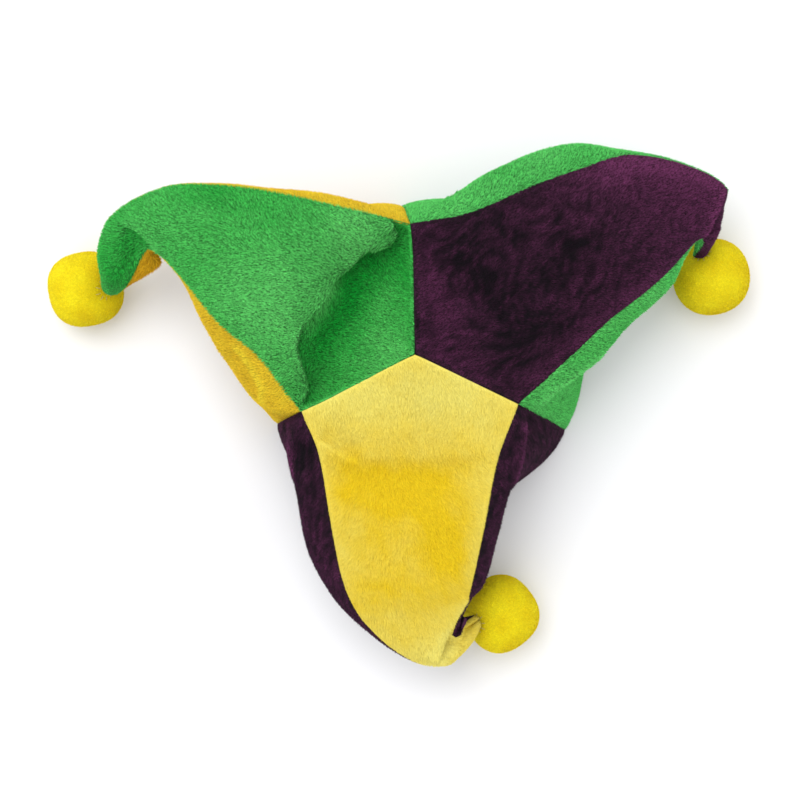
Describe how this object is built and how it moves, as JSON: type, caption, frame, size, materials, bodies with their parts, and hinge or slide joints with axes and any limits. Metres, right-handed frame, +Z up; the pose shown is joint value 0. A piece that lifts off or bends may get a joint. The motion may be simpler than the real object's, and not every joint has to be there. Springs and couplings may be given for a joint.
{
  "type": "jester hat",
  "caption": "Plush jester hat that stands on its open rim, with a pieced green, purple and yellow crown and three drooping hollow horns, each ending in a stuffed ball.",
  "frame": {"origin": "on the surface the hat stands on, under the middle of its bounding box", "axes": "+Z up through the crown; the front horn points along -Y, the left and right horns along -X and +X, seen with -Y in front"},
  "size_m": [0.3878, 0.2818, 0.1029],
  "materials": {
    "top_panel_left": "plush, green, short pile",
    "top_panel_right": "plush, dark purple, short pile",
    "top_panel_front": "plush, yellow, short pile",
    "under_panel_left": "plush, golden yellow, short pile",
    "under_panel_right": "plush, green, short pile",
    "under_panel_front": "plush, dark purple, short pile",
    "ball_left": "plush, lemon yellow, short pile",
    "ball_right": "plush, lemon yellow, short pile",
    "ball_front": "plush, lemon yellow, short pile"
  },
  "bodies": {
    "root": {"top_panel_left": "top_panel_left", "top_panel_right": "top_panel_right", "top_panel_front": "top_panel_front", "under_panel_left": "under_panel_left", "under_panel_right": "under_panel_right", "under_panel_front": "under_panel_front", "ball_left": "ball_left", "ball_right": "ball_right", "ball_front": "ball_front"}
  },
  "joints": []
}
